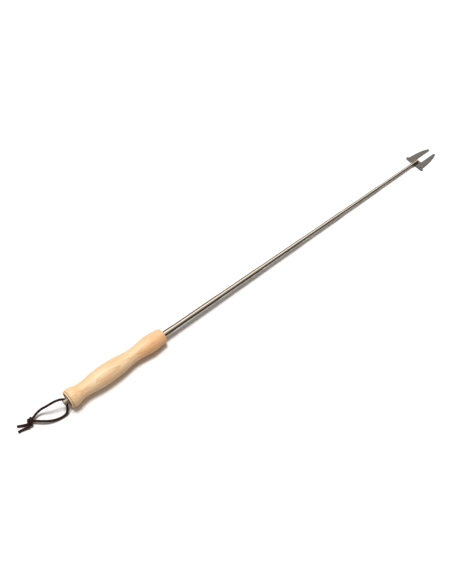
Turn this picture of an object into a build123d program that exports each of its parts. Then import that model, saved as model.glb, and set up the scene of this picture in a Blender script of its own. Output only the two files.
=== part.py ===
# Telescopic marshmallow roasting fork, lying drawn out on a floor.
#
# Row frame: +X from the handle to the prongs, +Y to the fork's left, +Z up. The floor is z = 0 and
# the origin is under the middle of the fork's length. The fork stands on the front bulge of its
# handle and on the tips of its prongs, so its axis slopes down towards the prongs by TILT.
#
# Every piece of the fork is drawn in the axis frame, where x runs along the tubes from the
# handle's back end and z is the height above their axis, and PLACE puts it down on the floor.
# The lanyard is drawn in the row frame, because it lies on the floor.

import os
from math import asin, degrees, sin, tan, radians

from build123d import *

# ------------------------------------------------------------ driving dimensions, in millimetres

# Handle: its outline is a smooth curve through these places along it and radii
HANDLE_LENGTH = 158.2
HANDLE_OUTLINE = [
    (3.6, 13.3),
    (8.5, 13.75),  # bell
    (15.5, 12.1),
    (22.5, 10.95),  # neck
    (40.0, 12.5),
    (65.0, 14.0),  # belly
    (88.0, 12.3),
    (106.0, 10.35),  # waist
    (136.0, 13.2),  # front bulge
    (148.0, 12.3),
    (157.2, 11.0),
]
RIM_RADIUS, RIM_BEVEL, RIM_FLARE = 12.7, 0.7, 0.2
GROOVE_AT, GROOVE_WIDTH, GROOVE_DEPTH = 1.7, 0.7, 0.5
FRONT_FACE_RADIUS = 10.1
DISC_SEAT_RADIUS, DISC_SEAT_DEPTH = 10.6, 2.2
FRONT_BORE_RADIUS = 5.4
SLOT_DEPTH = 45.7
SLOT_CLEARANCE = 0.35

# Tubes: number 0 is fixed in the handle and numbers 1 to 7 slide, each inside the one before
STAGES = 7
FIXED_TUBE_RADIUS = 5.0
RADIUS_STEP = 0.4
WALL = 0.2
RUNNING_CLEARANCE = 0.04
TUBE_LENGTH = 98.0
MOUTH_LENGTH, MOUTH_TAPER = 4.0, 1.0
FIXED_MOUTH_AT = 107.4
CLOSED_DRAW, FULL_DRAW = 1.2, 84.0  # how far a tube stands out of the one before
DRAWS = [70.6, 83.5, 77.5, 82.0, 84.0, 83.0, 74.5]  # each tube's draw as the fork lies here
SLEEVE_GRIP, SLEEVE_LIP, SLEEVE_SLIT = 8.0, 0.5, 0.8

# Back end of the handle
DISC_RADIUS, DISC_THICKNESS = 10.3, 1.2
DISC_BOSS_RADIUS, DISC_BOSS_HEIGHT = 5.6, 0.4
PLUG_LENGTH = 6.5
STUD_RADIUS, STUD_LENGTH, STUD_BEVEL, STUD_FLAT = 4.2, 7.4, 0.6, 3.9
SHANK_RADIUS, SHANK_DEPTH = 2.5, 6.0
STUD_TURN = 45.0  # degrees that the cord hole is turned, left side up, as the handle has rolled
CORD_HOLE_RADIUS, CORD_HOLE_FLARE, CORD_HOLE_FROM_DISC = 1.9, 1.3, 3.8

# Head: the plate lies under the barrel, in a flat cut there
BARREL_RADIUS, BARREL_LENGTH, BARREL_BEVEL, BARREL_HEEL = 3.3, 11.5, 0.4, 3.5
BARREL_GROOVE_AT, BARREL_GROOVE_WIDTH, BARREL_GROOVE_DEPTH = 2.2, 0.8, 0.3
SOCKET_DEPTH = 6.0
PLATE_TOP, PLATE_THICKNESS, PLATE_EDGE = -2.5, 1.5, 0.15
EAR_SPAN, EAR_RADIUS = 34.8, 2.5
PRONG_OUTLINE = [(7.0, 14.6), (18.5, 13.6), (29.0, 12.0), (37.0, 9.9), (41.6, 8.1)]
PRONG_INNER, PRONG_INNER_END = 4.9, (41.6, 4.7)
GAP_BOTTOM_AT, GAP_CORNER = 12.2, 1.6
HEAD_LENGTH, TIP_SPREAD = 43.0, 6.3
EAR_HOLE_RADIUS, EAR_HOLE_AT, EAR_HOLE_SPREAD = 0.9, 3.4, 11.8
RIVET_RADIUS, RIVET_HEAD_RADIUS, RIVET_HEAD_HEIGHT, RIVET_AT = 1.0, 1.8, 0.8, 5.2
RIVET_TOP = 1.6

# Lanyard: the routes of its two legs and two tails, in the row frame
CORD_DIAMETER = 3.4
KNOT_RADIUS, KNOT_AT = 4.9, (-404.2, 10.0, 4.9)
FAR_LEG = [
    (-352.8, 0.0, 15.4),
    (-352.8, 2.2, 17.6),
    (-355.0, 3.6, 19.4),
    (-359.3, 5.5, 20.8),
    (-366.4, 7.9, 20.2),
    (-375.6, 10.9, 16.0),
    (-383.6, 14.1, 10.5),
    (-391.2, 15.0, 6.4),
    (-398.8, 12.6, 5.0),
]
NEAR_LEG = [
    (-352.8, 0.0, 15.4),
    (-352.8, -2.2, 13.2),
    (-354.2, -4.3, 11.2),
    (-355.4, -8.0, 7.7),
    (-358.6, -10.7, 3.9),
    (-365.0, -10.5, 1.9),
    (-373.7, -8.8, 2.8),
    (-382.6, -5.7, 4.5),
    (-390.4, -0.5, 5.6),
    (-396.7, 5.3, 5.7),
    (-401.0, 9.4, 5.0),
]
FAR_TAIL = [
    (-407.8, 9.2, 4.4),
    (-412.0, 11.9, 2.7),
    (-416.6, 14.8, 1.8),
    (-421.0, 17.3, 1.8),
]
NEAR_TAIL = [
    (-408.2, 5.5, 4.3),
    (-413.4, 7.1, 2.9),
    (-419.0, 8.8, 1.9),
    (-424.2, 9.2, 1.8),
]

# ------------------------------------------------------------ what follows from them

BULGE_AT, BULGE_RADIUS = HANDLE_OUTLINE[8]
PLATE_UNDERSIDE = PLATE_TOP - PLATE_THICKNESS
MOUTHS = [FIXED_MOUTH_AT + sum(DRAWS[:k]) for k in range(STAGES + 1)]
BARREL_AT = MOUTHS[STAGES]
HEAD_AT = BARREL_AT + BARREL_HEEL
TIPS_AT = HEAD_AT + HEAD_LENGTH
TILT = asin((BULGE_RADIUS + PLATE_UNDERSIDE) / (TIPS_AT - BULGE_AT))
BACK_END_AT = -350.0
PLACE = Location(
    (BACK_END_AT, 0, BULGE_RADIUS + sin(TILT) * BULGE_AT),
    (0, degrees(TILT), 0),
)


def tube_radius(stage):
    return FIXED_TUBE_RADIUS - RADIUS_STEP * stage


# ------------------------------------------------------------ helpers


def turned(*outline):
    """A solid of revolution about the axis, from (x, radius) corners."""
    return revolve(Plane.XZ * Polygon(*outline, align=None), Axis.X)


def ring(start, length, outer, inner=0.0):
    """A round disc, rod or tube on the axis."""
    end = start + length
    return turned((start, inner), (end, inner), (end, outer), (start, outer))


def across(x, z, radius, length, axis):
    """A round pin or drill along Y or Z, centred at x on the axis and z above it."""
    turn = (90, 0, 0) if axis == "Y" else (0, 0, 0)
    return Location((x, 0, z), turn) * Cylinder(radius, length)


# ------------------------------------------------------------ handle and its back end


def handle_grip():
    curve = Spline(*HANDLE_OUTLINE)
    ends = Polyline(
        HANDLE_OUTLINE[-1],
        (HANDLE_LENGTH, FRONT_FACE_RADIUS),
        (HANDLE_LENGTH, 0),
        (0, 0),
        (0, RIM_RADIUS - RIM_BEVEL),
        (RIM_BEVEL, RIM_RADIUS),
        (GROOVE_AT, RIM_RADIUS + RIM_FLARE),
        (GROOVE_AT + GROOVE_WIDTH / 2, RIM_RADIUS + RIM_FLARE - GROOVE_DEPTH),
        HANDLE_OUTLINE[0],
    )
    grip = revolve(Plane.XZ * make_face(curve + ends), Axis.X)
    grip -= ring(0, DISC_SEAT_DEPTH, DISC_SEAT_RADIUS)
    grip -= ring(DISC_SEAT_DEPTH, FIXED_MOUTH_AT - DISC_SEAT_DEPTH, FIXED_TUBE_RADIUS)
    grip -= ring(FIXED_MOUTH_AT, HANDLE_LENGTH - FIXED_MOUTH_AT, FRONT_BORE_RADIUS)
    slot_height = PLATE_THICKNESS + 2 * SLOT_CLEARANCE
    slot = Box(2 * SLOT_DEPTH, 4 * BULGE_RADIUS, slot_height)
    return grip - Pos(HANDLE_LENGTH, 0, PLATE_TOP - PLATE_THICKNESS / 2) * slot


def end_disc():
    bevel = 0.4
    boss_bevel = 0.6
    seat = DISC_SEAT_DEPTH
    face = seat - DISC_THICKNESS
    boss = face - DISC_BOSS_HEIGHT
    return turned(
        (seat, SHANK_RADIUS),
        (boss, SHANK_RADIUS),
        (boss, DISC_BOSS_RADIUS),
        (face, DISC_BOSS_RADIUS + boss_bevel),
        (face, DISC_RADIUS - bevel),
        (face + bevel, DISC_RADIUS),
        (seat, DISC_RADIUS),
    )


def lanyard_stud():
    root = DISC_SEAT_DEPTH - DISC_THICKNESS - DISC_BOSS_HEIGHT
    end = root - STUD_LENGTH
    stud = turned(
        (root, 0),
        (root, STUD_RADIUS),
        (end + STUD_BEVEL, STUD_RADIUS),
        (end, STUD_RADIUS - STUD_BEVEL),
        (end, 0),
    )
    body = Box(4 * STUD_LENGTH, 2 * STUD_FLAT, 4 * STUD_RADIUS)
    stud &= Pos(root, 0, 0) * body
    stud += ring(root, DISC_SEAT_DEPTH + SHANK_DEPTH - root, SHANK_RADIUS)
    hole_at = DISC_SEAT_DEPTH - DISC_THICKNESS - CORD_HOLE_FROM_DISC
    stud -= across(hole_at, 0, CORD_HOLE_RADIUS, 4 * STUD_RADIUS, "Y")
    flare = Cone(CORD_HOLE_RADIUS, CORD_HOLE_RADIUS + 2 * CORD_HOLE_FLARE, 2 * CORD_HOLE_FLARE)
    for turn in (90, -90):
        mouth = Rot(turn, 0, 0) * Pos(0, 0, STUD_FLAT) * flare
        stud -= Pos(hole_at, 0, 0) * mouth
    return Rot(STUD_TURN, 0, 0) * stud


def tube_plug():
    return ring(DISC_SEAT_DEPTH, PLUG_LENGTH, FIXED_TUBE_RADIUS - WALL, SHANK_RADIUS)


# ------------------------------------------------------------ telescopic tubes


def telescopic_tube(stage):
    """A thin tube whose mouth is drawn in to guide the next one."""
    outer = tube_radius(stage)
    mouth_inner = tube_radius(stage + 1) + RUNNING_CLEARANCE
    mouth_outer = mouth_inner + WALL
    mouth = MOUTHS[stage]
    back = DISC_SEAT_DEPTH if stage == 0 else mouth - TUBE_LENGTH
    neck = mouth - MOUTH_LENGTH
    taper = neck - MOUTH_TAPER
    return turned(
        (back, outer),
        (taper, outer),
        (neck, mouth_outer),
        (mouth, mouth_outer),
        (mouth, mouth_inner),
        (neck, mouth_inner),
        (taper, outer - WALL),
        (back, outer - WALL),
    )


def last_tube():
    outer = tube_radius(STAGES)
    length = TUBE_LENGTH + SOCKET_DEPTH
    return ring(BARREL_AT - TUBE_LENGTH, length, outer, outer - WALL)


def slide_sleeve(stage):
    """A split sleeve on a tube's inner end: it rubs in the tube around it and stops the draw."""
    inner = tube_radius(stage)
    outer = tube_radius(stage - 1) - WALL - RUNNING_CLEARANCE
    back = MOUTHS[stage] - TUBE_LENGTH
    sleeve = ring(back, SLEEVE_GRIP, outer, inner)
    sleeve += ring(back - SLEEVE_LIP, SLEEVE_LIP, outer, inner - WALL)
    slit = Box(2 * SLEEVE_GRIP, SLEEVE_SLIT, 2 * outer)
    return sleeve - Pos(back + SLEEVE_GRIP, 0, outer) * slit


# ------------------------------------------------------------ head


def head_ferrule():
    groove = BARREL_AT + BARREL_GROOVE_AT
    waist = BARREL_RADIUS - BARREL_GROOVE_DEPTH
    end = BARREL_AT + BARREL_LENGTH
    barrel = turned(
        (BARREL_AT, 0),
        (BARREL_AT, BARREL_RADIUS - BARREL_BEVEL),
        (BARREL_AT + BARREL_BEVEL, BARREL_RADIUS),
        (groove, BARREL_RADIUS),
        (groove, waist),
        (groove + BARREL_GROOVE_WIDTH, waist),
        (groove + BARREL_GROOVE_WIDTH, BARREL_RADIUS),
        (end - BARREL_BEVEL, BARREL_RADIUS),
        (end, BARREL_RADIUS - BARREL_BEVEL),
        (end, 0),
    )
    barrel -= ring(BARREL_AT, SOCKET_DEPTH, tube_radius(STAGES))
    under = Box(2 * BARREL_LENGTH, 4 * BARREL_RADIUS, 2 * BARREL_RADIUS)
    barrel -= Pos(HEAD_AT + BARREL_LENGTH, 0, PLATE_TOP - BARREL_RADIUS) * under
    return barrel - head_rivet()


def fork_head():
    """The flat plate: an ear and a prong each side of a straight gap."""
    ear_side = EAR_SPAN / 2 - EAR_RADIUS
    half = (
        Polyline((GAP_BOTTOM_AT, 0), (0, 0), (0, ear_side))
        + ThreePointArc(
            (0, ear_side),
            (EAR_RADIUS, ear_side + EAR_RADIUS),
            (2 * EAR_RADIUS, ear_side),
        )
        + Line((2 * EAR_RADIUS, ear_side), PRONG_OUTLINE[0])
        + Spline(*PRONG_OUTLINE)
        + ThreePointArc(PRONG_OUTLINE[-1], (HEAD_LENGTH, TIP_SPREAD), PRONG_INNER_END)
        + Line(PRONG_INNER_END, (GAP_BOTTOM_AT + GAP_CORNER, PRONG_INNER))
        + RadiusArc(
            (GAP_BOTTOM_AT + GAP_CORNER, PRONG_INNER),
            (GAP_BOTTOM_AT, PRONG_INNER - GAP_CORNER),
            -GAP_CORNER,
        )
        + Line((GAP_BOTTOM_AT, PRONG_INNER - GAP_CORNER), (GAP_BOTTOM_AT, 0))
    )
    side = extrude(make_face(half), PLATE_THICKNESS)
    plate = (side + mirror(side, Plane.XZ)).clean()
    rims = plate.edges().group_by(Axis.Z)
    plate = fillet(rims[0] + rims[-1], PLATE_EDGE)
    plate = Pos(HEAD_AT, 0, PLATE_UNDERSIDE) * plate
    for spread in (-EAR_HOLE_SPREAD, EAR_HOLE_SPREAD):
        hole = across(HEAD_AT + EAR_HOLE_AT, 0, EAR_HOLE_RADIUS, 4 * BARREL_RADIUS, "Z")
        plate -= Pos(0, spread, 0) * hole
    return plate - head_rivet()


def head_rivet():
    """Flush under the plate, with its shank blind in the barrel."""
    on_base = (Align.CENTER, Align.CENTER, Align.MIN)
    shank = Cylinder(RIVET_RADIUS, RIVET_TOP - PLATE_UNDERSIDE, align=on_base)
    head = Cone(RIVET_HEAD_RADIUS, RIVET_RADIUS, RIVET_HEAD_HEIGHT, align=on_base)
    return Pos(HEAD_AT + RIVET_AT, 0, PLATE_UNDERSIDE) * (shank + head)


# ------------------------------------------------------------ lanyard


def cord(name, route):
    """A round cord of straight runs joined by the largest tangent arcs that they allow."""
    points = [Vector(*p) for p in route]
    runs = [b - a for a, b in zip(points, points[1:])]
    radii = [
        0.45 * min(a.length, b.length) / tan(radians(a.get_angle(b)) / 2)
        for a, b in zip(runs, runs[1:])
    ]
    path = FilletPolyline(*points, radius=radii)
    start = Plane(origin=points[0], z_dir=runs[0])
    tube = sweep(start * Circle(CORD_DIAMETER / 2), path=path)
    whole = Circle(CORD_DIAMETER / 2).area * path.length
    print(f"{name}: length {path.length:.1f}, volume / (section x length) {tube.volume / whole:.4f}")
    print("  radii", [round(r, 1) for r in radii])
    print("  turns", [round(a.get_angle(b)) for a, b in zip(runs, runs[1:])])
    return tube


# ------------------------------------------------------------ build and export

parts = {
    "handle_grip": handle_grip(),
    "end_disc": end_disc(),
    "lanyard_stud": lanyard_stud(),
    "tube_plug": tube_plug(),
    "outer_tube": telescopic_tube(0),
}
for stage in range(1, STAGES):
    parts[f"tube_{stage}"] = telescopic_tube(stage)
parts[f"tube_{STAGES}"] = last_tube()
for stage in range(1, STAGES + 1):
    parts[f"sleeve_{stage}"] = slide_sleeve(stage)
parts["head_ferrule"] = head_ferrule()
parts["fork_head"] = fork_head()
parts["head_rivet"] = head_rivet()

parts = {name: PLACE * solid for name, solid in parts.items()}
parts["lanyard_far_leg"] = cord("far leg", FAR_LEG)
parts["lanyard_near_leg"] = cord("near leg", NEAR_LEG)
parts["lanyard_knot"] = Pos(*KNOT_AT) * Sphere(KNOT_RADIUS)
parts["lanyard_far_tail"] = cord("far tail", FAR_TAIL)
parts["lanyard_near_tail"] = cord("near tail", NEAR_TAIL)

os.makedirs("parts", exist_ok=True)
for name, solid in parts.items():
    export_step(solid, f"parts/{name}.step")
print(f"tilt {degrees(TILT):.3f} degrees, tubes' mouths at {[round(m, 1) for m in MOUTHS]}")
for stage, draw in enumerate(DRAWS, 1):
    print(f"stage {stage} slides {CLOSED_DRAW - draw:.1f} to {FULL_DRAW - draw:.1f}")
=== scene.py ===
"""The looks of the telescopic roasting fork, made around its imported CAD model.

Every length is in metres, in the CAD model's row frame: +X from the handle to the prongs, +Y to
the fork's left, +Z up from the floor it lies on.
"""

from math import cos, radians, sin

import bpy
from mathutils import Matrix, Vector


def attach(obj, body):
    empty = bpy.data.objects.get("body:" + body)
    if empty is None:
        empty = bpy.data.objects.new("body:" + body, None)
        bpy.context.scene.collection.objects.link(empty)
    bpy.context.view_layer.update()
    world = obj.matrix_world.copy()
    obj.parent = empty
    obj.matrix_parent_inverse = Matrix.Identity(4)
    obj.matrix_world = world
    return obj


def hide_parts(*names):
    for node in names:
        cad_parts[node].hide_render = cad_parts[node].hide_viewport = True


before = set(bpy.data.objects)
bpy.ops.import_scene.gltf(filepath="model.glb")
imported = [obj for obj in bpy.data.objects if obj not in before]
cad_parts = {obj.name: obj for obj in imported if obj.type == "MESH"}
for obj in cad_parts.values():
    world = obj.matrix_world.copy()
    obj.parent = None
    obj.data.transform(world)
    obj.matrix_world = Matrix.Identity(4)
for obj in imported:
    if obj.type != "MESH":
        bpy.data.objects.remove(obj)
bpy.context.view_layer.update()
scene = bpy.context.scene

MM = 0.001

# The tubes' axis passes over the frame's origin at this height, and falls towards the prongs
AXIS_HEIGHT = 0.00977
AXIS_SLOPE = 0.0161

# ------------------------------------------------------------------------------ camera

CAMERA_AZIMUTH = radians(-39.65)
CAMERA_ELEVATION = radians(57.10)
CAMERA_TARGET = Vector((-0.0727, 0.0051, 0.0))
CAMERA_DISTANCE = 1.2399
CAMERA_LENS = 52.4  # millimetres

# ------------------------------------------------------------------------------ lanyard routes

CORD_DIAMETER = 3.4 * MM

FAR_LEG = [
    (-0.3528, 0.0000, 0.0154),
    (-0.3528, 0.0022, 0.0176),
    (-0.3550, 0.0034, 0.0190),
    (-0.3593, 0.0052, 0.0202),
    (-0.3664, 0.0076, 0.0196),
    (-0.3756, 0.0103, 0.0152),
    (-0.3836, 0.0141, 0.0105),
    (-0.3912, 0.0150, 0.0064),
    (-0.3988, 0.0126, 0.0050),
]
NEAR_LEG = [
    (-0.3528, 0.0000, 0.0154),
    (-0.3528, -0.0022, 0.0132),
    (-0.3545, -0.0041, 0.0112),
    (-0.3565, -0.0073, 0.0077),
    (-0.3597, -0.0099, 0.0039),
    (-0.3658, -0.0099, 0.0019),
    (-0.3737, -0.0088, 0.0028),
    (-0.3826, -0.0057, 0.0045),
    (-0.3904, -0.0005, 0.0056),
    (-0.3967, 0.0053, 0.0057),
    (-0.4010, 0.0094, 0.0050),
]
FAR_TAIL = [
    (-0.4078, 0.0092, 0.0044),
    (-0.4120, 0.0119, 0.0027),
    (-0.4166, 0.0148, 0.0018),
    (-0.4210, 0.0173, 0.0018),
]
NEAR_TAIL = [
    (-0.4082, 0.0055, 0.0043),
    (-0.4134, 0.0071, 0.0029),
    (-0.4190, 0.0088, 0.0019),
    (-0.4242, 0.0092, 0.0018),
]

# The knot: the near cord takes a round turn and a half about the far one. The cords' way through
# it is given in cord diameters from its centre: towards the tails, to the left of that, and up.
KNOT_CENTRE = Vector((-0.4042, 0.0100, 0.0050))
KNOT_ALONG = Vector((-0.935, 0.354, 0.0))
KNOT_SIDE = Vector((0.354, 0.935, 0.0))
UP = Vector((0, 0, 1))
FAR_CORD_IN_KNOT = [
    (-0.65, 0.65, 0.15),
    (0.05, 0.0, 0.05),
]
NEAR_CORD_IN_KNOT = [
    (-0.65, 0.85, -0.45),
    (-0.50, 1.45, -0.20),
    (-0.40, 1.45, 0.55),
    (-0.36, 0.85, 1.15),
    (-0.34, 0.0, 1.30),
    (-0.32, -0.85, 1.02),
    (-0.28, -1.22, 0.35),
    (-0.15, -1.08, -0.60),
    (0.05, -0.50, -0.95),
    (0.22, 0.40, -0.95),
    (0.36, 0.88, -0.62),
    (0.44, 1.05, 0.20),
    (0.52, 0.72, 0.98),
    (0.66, 0.0, 1.25),
    (0.68, -0.95, 0.95),
]


# ------------------------------------------------------------------------------ helpers


def in_knot(turns):
    """The knot's turns as points in the row frame."""
    return [
        KNOT_CENTRE + CORD_DIAMETER * (along * KNOT_ALONG + side * KNOT_SIDE + rise * UP)
        for along, side, rise in turns
    ]


def nurbs_cord(name, points, diameter):
    """A round cord: one open NURBS spline with the route's points as its control points."""
    curve = bpy.data.curves.new(name, "CURVE")
    curve.dimensions = "3D"
    spline = curve.splines.new("NURBS")
    spline.points.add(len(points) - 1)
    for control, place in zip(spline.points, points):
        control.co = (*place, 1.0)
    spline.order_u = 3
    spline.use_endpoint_u = True
    spline.resolution_u = 12
    curve.bevel_depth = diameter / 2
    curve.bevel_resolution = 6
    curve.use_fill_caps = True
    cord = bpy.data.objects.new(name, curve)
    scene.collection.objects.link(cord)
    return cord


def add(tree, kind, inputs=None, **settings):
    """A shader node with its settings and inputs, where an input is a value or a socket."""
    node = tree.nodes.new("ShaderNode" + kind)
    for key, value in settings.items():
        setattr(node, key, value)
    for key, value in (inputs or {}).items():
        if isinstance(value, bpy.types.NodeSocket):
            tree.links.new(value, node.inputs[key])
        else:
            node.inputs[key].default_value = value
    return node


def object_coordinates(tree, scale=(1, 1, 1)):
    """The piece's own coordinates in metres, times scale."""
    place = add(tree, "TexCoord").outputs["Object"]
    return add(tree, "VectorMath", {0: place, 1: scale}, operation="MULTIPLY").outputs[0]


def noise(tree, coordinates, scale=1.0, detail=2.0, roughness=0.5):
    """Noise about 0.5, with scale cells to each unit of the coordinates."""
    inputs = {"Vector": coordinates, "Scale": scale, "Detail": detail, "Roughness": roughness}
    return add(tree, "TexNoise", inputs).outputs["Fac"]


def ramp(tree, factor, stops):
    """A colour ramp through (position, colour) stops, where a number is a grey."""
    node = add(tree, "ValToRGB", {"Fac": factor})
    elements = node.color_ramp.elements
    while len(elements) < len(stops):
        elements.new(0.5)
    for element, (position, colour) in zip(elements, stops):
        element.position = position
        grey = isinstance(colour, (int, float))
        element.color = (colour, colour, colour, 1) if grey else (*colour, 1)
    return node.outputs["Color"]


def mix(tree, factor, first, second, blend="MIX"):
    """The first colour with the second blended in by factor."""
    node = add(tree, "Mix", data_type="RGBA", blend_type=blend)
    for index, value in ((0, factor), (6, first), (7, second)):
        if isinstance(value, bpy.types.NodeSocket):
            tree.links.new(value, node.inputs[index])
        else:
            node.inputs[index].default_value = value if index == 0 else (*value, 1)
    return node.outputs[2]


def arithmetic(tree, operation, *terms):
    """A math node's result, where a term is a number or a socket."""
    return add(tree, "Math", dict(enumerate(terms)), operation=operation).outputs[0]


def map_range(tree, value, **ends):
    """The value carried over from From_Min..From_Max to To_Min..To_Max, 0..1 where not given."""
    inputs = {name.replace("_", " "): end for name, end in ends.items()}
    return add(tree, "MapRange", {"Value": value, **inputs}).outputs[0]


def bump(tree, height, depth, normal=None):
    """A bump of that depth in metres, over the normal of an earlier bump if one is given."""
    inputs = {"Height": height, "Distance": depth, "Strength": 1.0}
    if normal:
        inputs["Normal"] = normal
    return add(tree, "Bump", inputs).outputs["Normal"]


def material(name, **constants):
    """A new Principled material, its tree and its shader, with constants set on the sockets."""
    made = bpy.data.materials.new(name)
    made.use_nodes = True
    shader = made.node_tree.nodes["Principled BSDF"]
    for socket, value in constants.items():
        shader.inputs[socket.replace("_", " ")].default_value = value
    return made, made.node_tree, shader


def connect(tree, shader, **sockets):
    """Links sockets to the shader's inputs of the same names."""
    for name, socket in sockets.items():
        tree.links.new(socket, shader.inputs[name.replace("_", " ")])


# ------------------------------------------------------------------------------ materials

# The tree's heart runs along the handle, to its right and above it. PITH_Z is its height at X = 0,
# and it falls with the axis. RING_WANDER is the full spread of the rings' waves.
PITH_Y, PITH_Z = -0.0165, 0.03465
RING_SPACING, RING_PHASE = 0.0022, 0.16
RING_WANDER = 0.0030
# A dark brown line runs round the back end here, in the handle's groove
GROOVE_LINE_X = -0.3481
# The front bulge is warmer on its right side: the warmth fades in from the first place of each
# pair to the second
WARM_FADE_X = (-0.250, -0.222)
WARM_FADE_Y = (0.004, -0.007)
# How much of each mark's colour is laid over the wood
BLOTCHES, WARM_SIDE, RINGS, PORES, RAYS = 0.55, 0.68, 0.46, 0.26, 0.20


def wood():
    """Pale turned beech: rings that show as ovals on the swells, fibres, pores, ray flecks and a
    dark brown line round the back end, in the groove."""
    made, tree, shader = material("oiled_beech", Specular_IOR_Level=0.5)
    place = add(tree, "SeparateXYZ", {0: object_coordinates(tree)}).outputs
    level = arithmetic(tree, "MULTIPLY_ADD", place["X"], AXIS_SLOPE, place["Z"])
    across = arithmetic(tree, "SUBTRACT", place["Y"], PITH_Y)
    over = arithmetic(tree, "SUBTRACT", level, PITH_Z)
    bent = noise(tree, object_coordinates(tree, (16, 70, 70)), detail=3.0)
    wander = arithmetic(tree, "MULTIPLY", arithmetic(tree, "SUBTRACT", bent, 0.5), RING_WANDER)
    across_squared = arithmetic(tree, "MULTIPLY", across, across)
    radius = arithmetic(tree, "SQRT", arithmetic(tree, "MULTIPLY_ADD", over, over, across_squared))
    years = arithmetic(tree, "MULTIPLY", arithmetic(tree, "ADD", radius, wander), 1 / RING_SPACING)
    year = arithmetic(tree, "FRACT", arithmetic(tree, "ADD", years, RING_PHASE))
    rings = ramp(tree, year, [(0.0, 0.0), (0.42, 0.16), (0.80, 1.0), (0.90, 0.55), (1.0, 0.0)])

    fibres = noise(tree, object_coordinates(tree, (45, 1100, 1100)), detail=4.0, roughness=0.6)
    patches = noise(tree, object_coordinates(tree, (26, 90, 90)), detail=2.0)
    pores = noise(tree, object_coordinates(tree, (330, 5200, 5200)), detail=1.0)
    pore_marks = ramp(tree, pores, [(0.60, 0.0), (0.72, 1.0)])
    rays = noise(tree, object_coordinates(tree, (420, 1500, 3600)), detail=0.0)
    ray_marks = ramp(tree, rays, [(0.66, 0.0), (0.74, 1.0)])
    along = arithmetic(tree, "MULTIPLY_ADD", place["Z"], -AXIS_SLOPE, place["X"])
    off_line = arithmetic(tree, "ABSOLUTE", arithmetic(tree, "SUBTRACT", along, GROOVE_LINE_X))
    centimetres_off = arithmetic(tree, "MULTIPLY", off_line, 100.0)
    groove_line = ramp(tree, centimetres_off, [(0.030, 1.0), (0.060, 0.0)])

    pale, warm = (0.845, 0.637, 0.395), (0.78, 0.435, 0.20)
    late, pore_brown, groove_brown = (0.62, 0.31, 0.13), (0.38, 0.19, 0.085), (0.30, 0.14, 0.05)
    forward = map_range(tree, place["X"], From_Min=WARM_FADE_X[0], From_Max=WARM_FADE_X[1])
    rightward = map_range(tree, place["Y"], From_Min=WARM_FADE_Y[0], From_Max=WARM_FADE_Y[1])
    right_front = arithmetic(tree, "MULTIPLY", forward, rightward)
    blotches = ramp(tree, patches, [(0.38, 0.0), (0.68, 1.0)])
    blotches = arithmetic(tree, "MULTIPLY", blotches, BLOTCHES)
    warmth = arithmetic(tree, "MULTIPLY_ADD", right_front, WARM_SIDE, blotches)
    tone = mix(tree, warmth, pale, warm)
    tone = mix(tree, arithmetic(tree, "MULTIPLY", rings, RINGS), tone, late)
    streaks = ramp(tree, fibres, [(0.30, 0.93), (0.70, 1.03)])
    tone = mix(tree, 1.0, tone, streaks, "MULTIPLY")
    tone = mix(tree, arithmetic(tree, "MULTIPLY", pore_marks, PORES), tone, pore_brown)
    tone = mix(tree, arithmetic(tree, "MULTIPLY", ray_marks, RAYS), tone, late)
    tone = mix(tree, groove_line, tone, groove_brown)

    gloss = map_range(tree, fibres, To_Min=0.46, To_Max=0.58)
    relief = bump(tree, fibres, 0.00003)
    relief = bump(tree, arithmetic(tree, "SUBTRACT", 1.0, pore_marks), 0.00002, relief)
    connect(tree, shader, Base_Color=tone, Roughness=gloss, Normal=relief)
    return made


def metal(name, bright, dark, smooth, rough, grain, lines=0.0, depth=0.000004, metallic=1.0):
    """Bare metal: blotches and a fine grain between two colours and two roughnesses, where lines
    from 0 to 1 turns the grain into draw lines along X."""
    made, tree, shader = material(name, Metallic=metallic)
    blotches = noise(tree, object_coordinates(tree), scale=90.0, detail=4.0)
    speckle = noise(tree, object_coordinates(tree), scale=grain, detail=3.0, roughness=0.65)
    drawn = noise(tree, object_coordinates(tree, (9, 3800, 3800)), detail=3.0, roughness=0.7)
    contrast = [(0.3, 0.0), (0.7, 1.0)]
    surface = mix(tree, lines, ramp(tree, speckle, contrast), ramp(tree, drawn, contrast))
    worn = mix(tree, 0.5, ramp(tree, blotches, [(0.35, 0.0), (0.65, 1.0)]), surface)
    tone = mix(tree, worn, dark, bright)
    gloss = map_range(tree, worn, To_Min=rough, To_Max=smooth)
    connect(tree, shader, Base_Color=tone, Roughness=gloss, Normal=bump(tree, surface, depth))
    return made


def leather(name, dark, light, roughness):
    """Dyed round leather thong: fine pebble grain, rubbed lighter on the crests."""
    made, tree, shader = material(name, Specular_IOR_Level=0.16)
    grain = add(tree, "TexVoronoi", {"Vector": object_coordinates(tree), "Scale": 2600.0},
                feature="DISTANCE_TO_EDGE").outputs["Distance"]
    pebbles = ramp(tree, grain, [(0.0, 0.0), (0.30, 1.0)])
    wear = noise(tree, object_coordinates(tree), scale=420.0, detail=4.0, roughness=0.6)
    creases = noise(tree, object_coordinates(tree), scale=1500.0, detail=3.0)
    rubbed = arithmetic(tree, "MULTIPLY", pebbles, ramp(tree, wear, [(0.40, 0.0), (0.72, 1.0)]))
    tone = mix(tree, rubbed, dark, light)
    gloss = map_range(tree, creases, To_Min=roughness - 0.08, To_Max=roughness + 0.12)
    relief = bump(tree, pebbles, 0.00003)
    relief = bump(tree, creases, 0.00006, relief)
    connect(tree, shader, Base_Color=tone, Roughness=gloss, Normal=relief)
    return made


# Reflections see the floor change with the distance from the rod, from this many rod heights on
# its right to as many on its left. A rod height is taken as LEAST_ROD_HEIGHT or more.
REFLECTED_FLOOR = 3.0
LEAST_ROD_HEIGHT = 0.003


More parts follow.
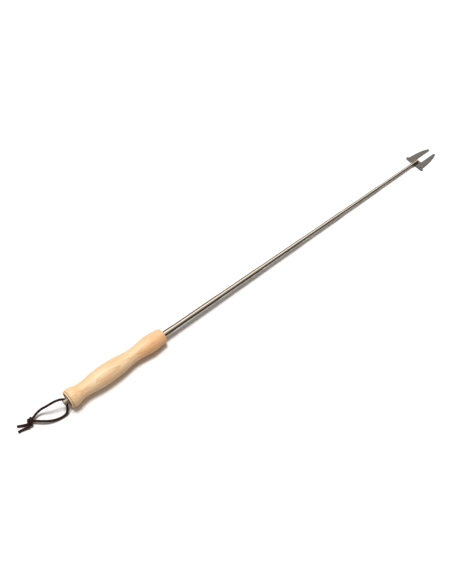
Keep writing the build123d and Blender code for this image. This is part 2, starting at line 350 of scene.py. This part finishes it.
def studio_floor():
    """Pale paper. Reflections see it as black far on the rod's right, dimmer under the rod, and as
    it is on the left."""
    made, tree, shader = material("studio_floor", Roughness=0.75, Specular_IOR_Level=0.2)
    paper = noise(tree, object_coordinates(tree), scale=40.0, detail=2.0)
    tone = mix(tree, paper, (0.84, 0.84, 0.84), (0.86, 0.86, 0.86))
    place = add(tree, "SeparateXYZ", {0: object_coordinates(tree)}).outputs
    rod_height = arithmetic(tree, "MULTIPLY_ADD", place["X"], -AXIS_SLOPE, AXIS_HEIGHT)
    rod_height = arithmetic(tree, "MAXIMUM", rod_height, LEAST_ROD_HEIGHT)
    heights_aside = arithmetic(tree, "DIVIDE", place["Y"], rod_height)
    leftward = map_range(tree, heights_aside, From_Min=-REFLECTED_FLOOR, From_Max=REFLECTED_FLOOR)
    falloff = ramp(tree, leftward, [(0.27, 0.02), (0.33, 0.66), (0.48, 0.72), (0.60, 1.0)])
    mirrored = add(tree, "LightPath").outputs["Is Glossy Ray"]
    tone = mix(tree, mirrored, tone, mix(tree, 1.0, tone, falloff, "MULTIPLY"))
    connect(tree, shader, Base_Color=tone)
    return made


WOOD = wood()
TUBE = metal("polished_tube_steel", (0.80, 0.76, 0.70), (0.72, 0.68, 0.62),
             smooth=0.03, rough=0.065, grain=3000.0, lines=0.8, depth=0.0000006)
PLATE = metal("tumbled_plate_steel", (0.175, 0.170, 0.158), (0.112, 0.109, 0.101),
              smooth=0.36, rough=0.48, grain=2200.0, depth=0.000007)
# The end disc's near-black colour is painted shade. It stands for the shade in the recess at the
# back end where the disc sits.
DISC_PAINTED_SHADE = metal("disc_steel_painted_shade", (0.040, 0.031, 0.027), (0.020, 0.016, 0.014),
             smooth=0.34, rough=0.46, grain=2600.0)
FERRULE = metal("turned_ferrule_steel", (0.60, 0.53, 0.44), (0.46, 0.40, 0.33),
                smooth=0.06, rough=0.14, grain=2600.0)
STUD = metal("dulled_stud_metal", (0.33, 0.29, 0.21), (0.23, 0.20, 0.145),
             smooth=0.48, rough=0.60, grain=2600.0, metallic=0.45)
BRASS = metal("drawn_brass", (0.83, 0.62, 0.30), (0.66, 0.46, 0.20),
              smooth=0.20, rough=0.34, grain=2600.0, lines=0.5)
LEATHER = leather("dyed_leather", (0.019, 0.0048, 0.0030), (0.055, 0.017, 0.010), roughness=0.62)


def paint(node, made):
    """Gives a CAD node's own object that material."""
    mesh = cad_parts[node].data
    mesh.materials.clear()
    mesh.materials.append(made)


STAGES = range(1, 8)  # the sliding tubes, each with its sleeve
FINISHES = [
    (WOOD, ["handle_grip"]),
    (DISC_PAINTED_SHADE, ["end_disc"]),
    (STUD, ["lanyard_stud"]),
    (TUBE, ["outer_tube", *(f"tube_{stage}" for stage in STAGES)]),
    (BRASS, ["tube_plug", *(f"sleeve_{stage}" for stage in STAGES)]),
    (FERRULE, ["head_ferrule", "head_rivet"]),
    (PLATE, ["fork_head"]),
]
for finish, painted in FINISHES:
    for node in painted:
        paint(node, finish)


# ------------------------------------------------------------------------------ lanyard


def lanyard_cord(name, leg, turns, tail, stands_for):
    """One half of the lanyard: out of one end of the stud's hole, the left and upper end for the
    far cord, along the leg and through the knot to the cut end."""
    cord = nurbs_cord(name, [*leg, *in_knot(turns), *tail], CORD_DIAMETER)
    cord.data.materials.append(LEATHER)
    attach(cord, "handle")
    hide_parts(*stands_for)


lanyard_cord("lanyard_far_cord", FAR_LEG, FAR_CORD_IN_KNOT, FAR_TAIL,
             stands_for=["lanyard_far_leg", "lanyard_far_tail"])
lanyard_cord("lanyard_near_cord", NEAR_LEG, NEAR_CORD_IN_KNOT, NEAR_TAIL,
             stands_for=["lanyard_near_leg", "lanyard_near_tail", "lanyard_knot"])

# ------------------------------------------------------------------------------ stage

SUN_ANGLE = radians(24)
SUN_STRENGTH = 3.4
SUN_DIRECTION = Vector((0.05, 0.20, 1.0))
FLOOR_HALF = 20.0

# The room. Walls and fill are greys over the upward part of a direction. The softbox's middle and
# edges are slopes off the vertical, along X and Y.
SOFTBOX_Y = 0.06
SOFTBOX_EDGE_X = (1.3, 1.9)
SOFTBOX_FADE_Y = [(0.27, 1.0), (0.38, 0.0)]
SOFTBOX = (1.45, 1.42, 1.37)
NEAR_WALL = [(0.0, 0.006), (0.36, 0.008), (0.54, 0.36), (0.9, 0.40)]
FAR_WALL = [(0.0, 0.10), (0.5, 0.18), (0.9, 0.25)]
WALL_FADE_Y = (-0.25, 0.15)
LEAST_RISE = 0.01
FILL = [(0.0, 0.02), (0.35, 0.14), (0.9, 0.47)]
WARM_AIR = (1.0, 0.90, 0.80)
WHITE = (1.0, 1.0, 1.0)


def studio_room():
    """In reflections, a softbox overhead, a wall on the right that is black below and lit above,
    and a dim wall on the left. Otherwise a soft fill from above, and white for the camera."""
    world = bpy.data.worlds.new("studio")
    world.use_nodes = True
    sky = world.node_tree
    generated = add(sky, "TexCoord").outputs["Generated"]
    direction = add(sky, "SeparateXYZ", {"Vector": generated}).outputs
    height = direction["Z"]
    rise = arithmetic(sky, "MAXIMUM", height, LEAST_RISE)
    slope_x = arithmetic(sky, "DIVIDE", direction["X"], rise)
    slope_y = arithmetic(sky, "DIVIDE", direction["Y"], rise)
    off_x = arithmetic(sky, "ABSOLUTE", slope_x)
    off_y = arithmetic(sky, "ABSOLUTE", arithmetic(sky, "SUBTRACT", slope_y, SOFTBOX_Y))
    inside, outside = SOFTBOX_EDGE_X
    in_box_x = map_range(sky, off_x, From_Min=outside, From_Max=inside)
    in_box = arithmetic(sky, "MULTIPLY", ramp(sky, off_y, SOFTBOX_FADE_Y), in_box_x)
    right, left = WALL_FADE_Y
    leftward = map_range(sky, direction["Y"], From_Min=right, From_Max=left)
    room = mix(sky, leftward, ramp(sky, height, NEAR_WALL), ramp(sky, height, FAR_WALL))
    room = mix(sky, in_box, room, SOFTBOX)
    room = mix(sky, 1.0, room, WARM_AIR, "MULTIPLY")
    fill = mix(sky, 1.0, ramp(sky, height, FILL), WARM_AIR, "MULTIPLY")
    rays = add(sky, "LightPath").outputs
    seen = mix(sky, rays["Is Glossy Ray"], fill, room)
    seen = mix(sky, rays["Is Camera Ray"], seen, WHITE)
    sky.links.new(seen, sky.nodes["Background"].inputs["Color"])
    return world


camera_data = bpy.data.cameras.new("camera")
camera_data.lens = CAMERA_LENS
camera = bpy.data.objects.new("camera", camera_data)
scene.collection.objects.link(camera)
back = Vector((
    sin(CAMERA_AZIMUTH) * cos(CAMERA_ELEVATION),
    -cos(CAMERA_AZIMUTH) * cos(CAMERA_ELEVATION),
    sin(CAMERA_ELEVATION),
))
camera.location = CAMERA_TARGET + CAMERA_DISTANCE * back
camera.rotation_euler = (-back).to_track_quat("-Z", "Y").to_euler()
scene.camera = camera

sun_data = bpy.data.lights.new("overhead_softbox", "SUN")
sun_data.angle = SUN_ANGLE
sun_data.energy = SUN_STRENGTH
sun = bpy.data.objects.new("overhead_softbox", sun_data)
sun.rotation_euler = SUN_DIRECTION.to_track_quat("Z", "Y").to_euler()
scene.collection.objects.link(sun)

scene.world = studio_room()

floor_mesh = bpy.data.meshes.new("floor")
corners = [(x * FLOOR_HALF, y * FLOOR_HALF, 0) for x, y in ((-1, -1), (1, -1), (1, 1), (-1, 1))]
floor_mesh.from_pydata(corners, [], [(0, 1, 2, 3)])
floor_mesh.materials.append(studio_floor())
floor = bpy.data.objects.new("floor", floor_mesh)
scene.collection.objects.link(floor)

scene.view_settings.view_transform = "Standard"
